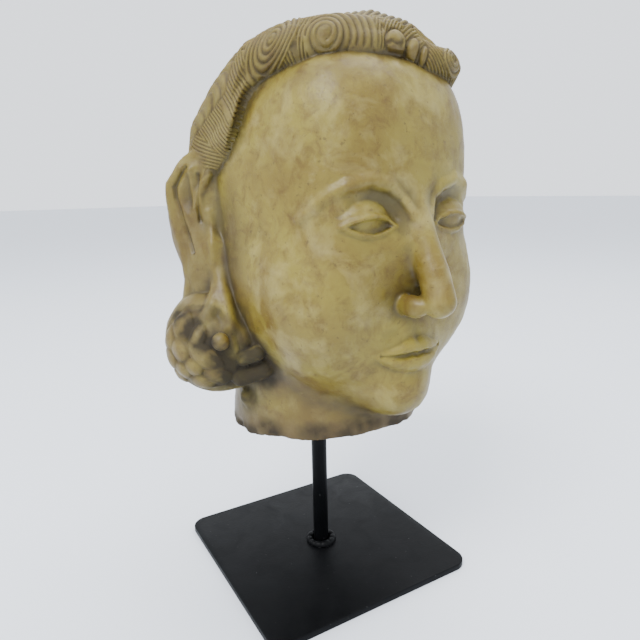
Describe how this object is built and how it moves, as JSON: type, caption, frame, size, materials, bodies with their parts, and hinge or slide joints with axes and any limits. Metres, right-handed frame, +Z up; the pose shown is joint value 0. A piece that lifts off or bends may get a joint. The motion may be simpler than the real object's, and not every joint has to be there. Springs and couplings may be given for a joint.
{
  "type": "carved stone head on display stand",
  "caption": "Life-size carved ochre stone head with curled hair and pendant ear ornaments, broken at the neck, held up on a black steel rod and square base plate.",
  "frame": {"origin": "centre of the base plate's underside, on the ground", "axes": "+Z up along the rod; the plate's sides run along X and Y; the face looks along -Y, turned 4 degrees towards +X"},
  "size_m": [0.1947, 0.1971, 0.3291],
  "materials": {
    "ochre_stone": "waxy, worn polish with brown stains and dirt in the cuts",
    "black_paint": "satin black paint on steel, a little scuffed"
  },
  "bodies": {
    "root": {"head": "ochre_stone", "rod": "black_paint", "weld_bead": "black_paint", "base_plate": "black_paint"}
  },
  "joints": []
}
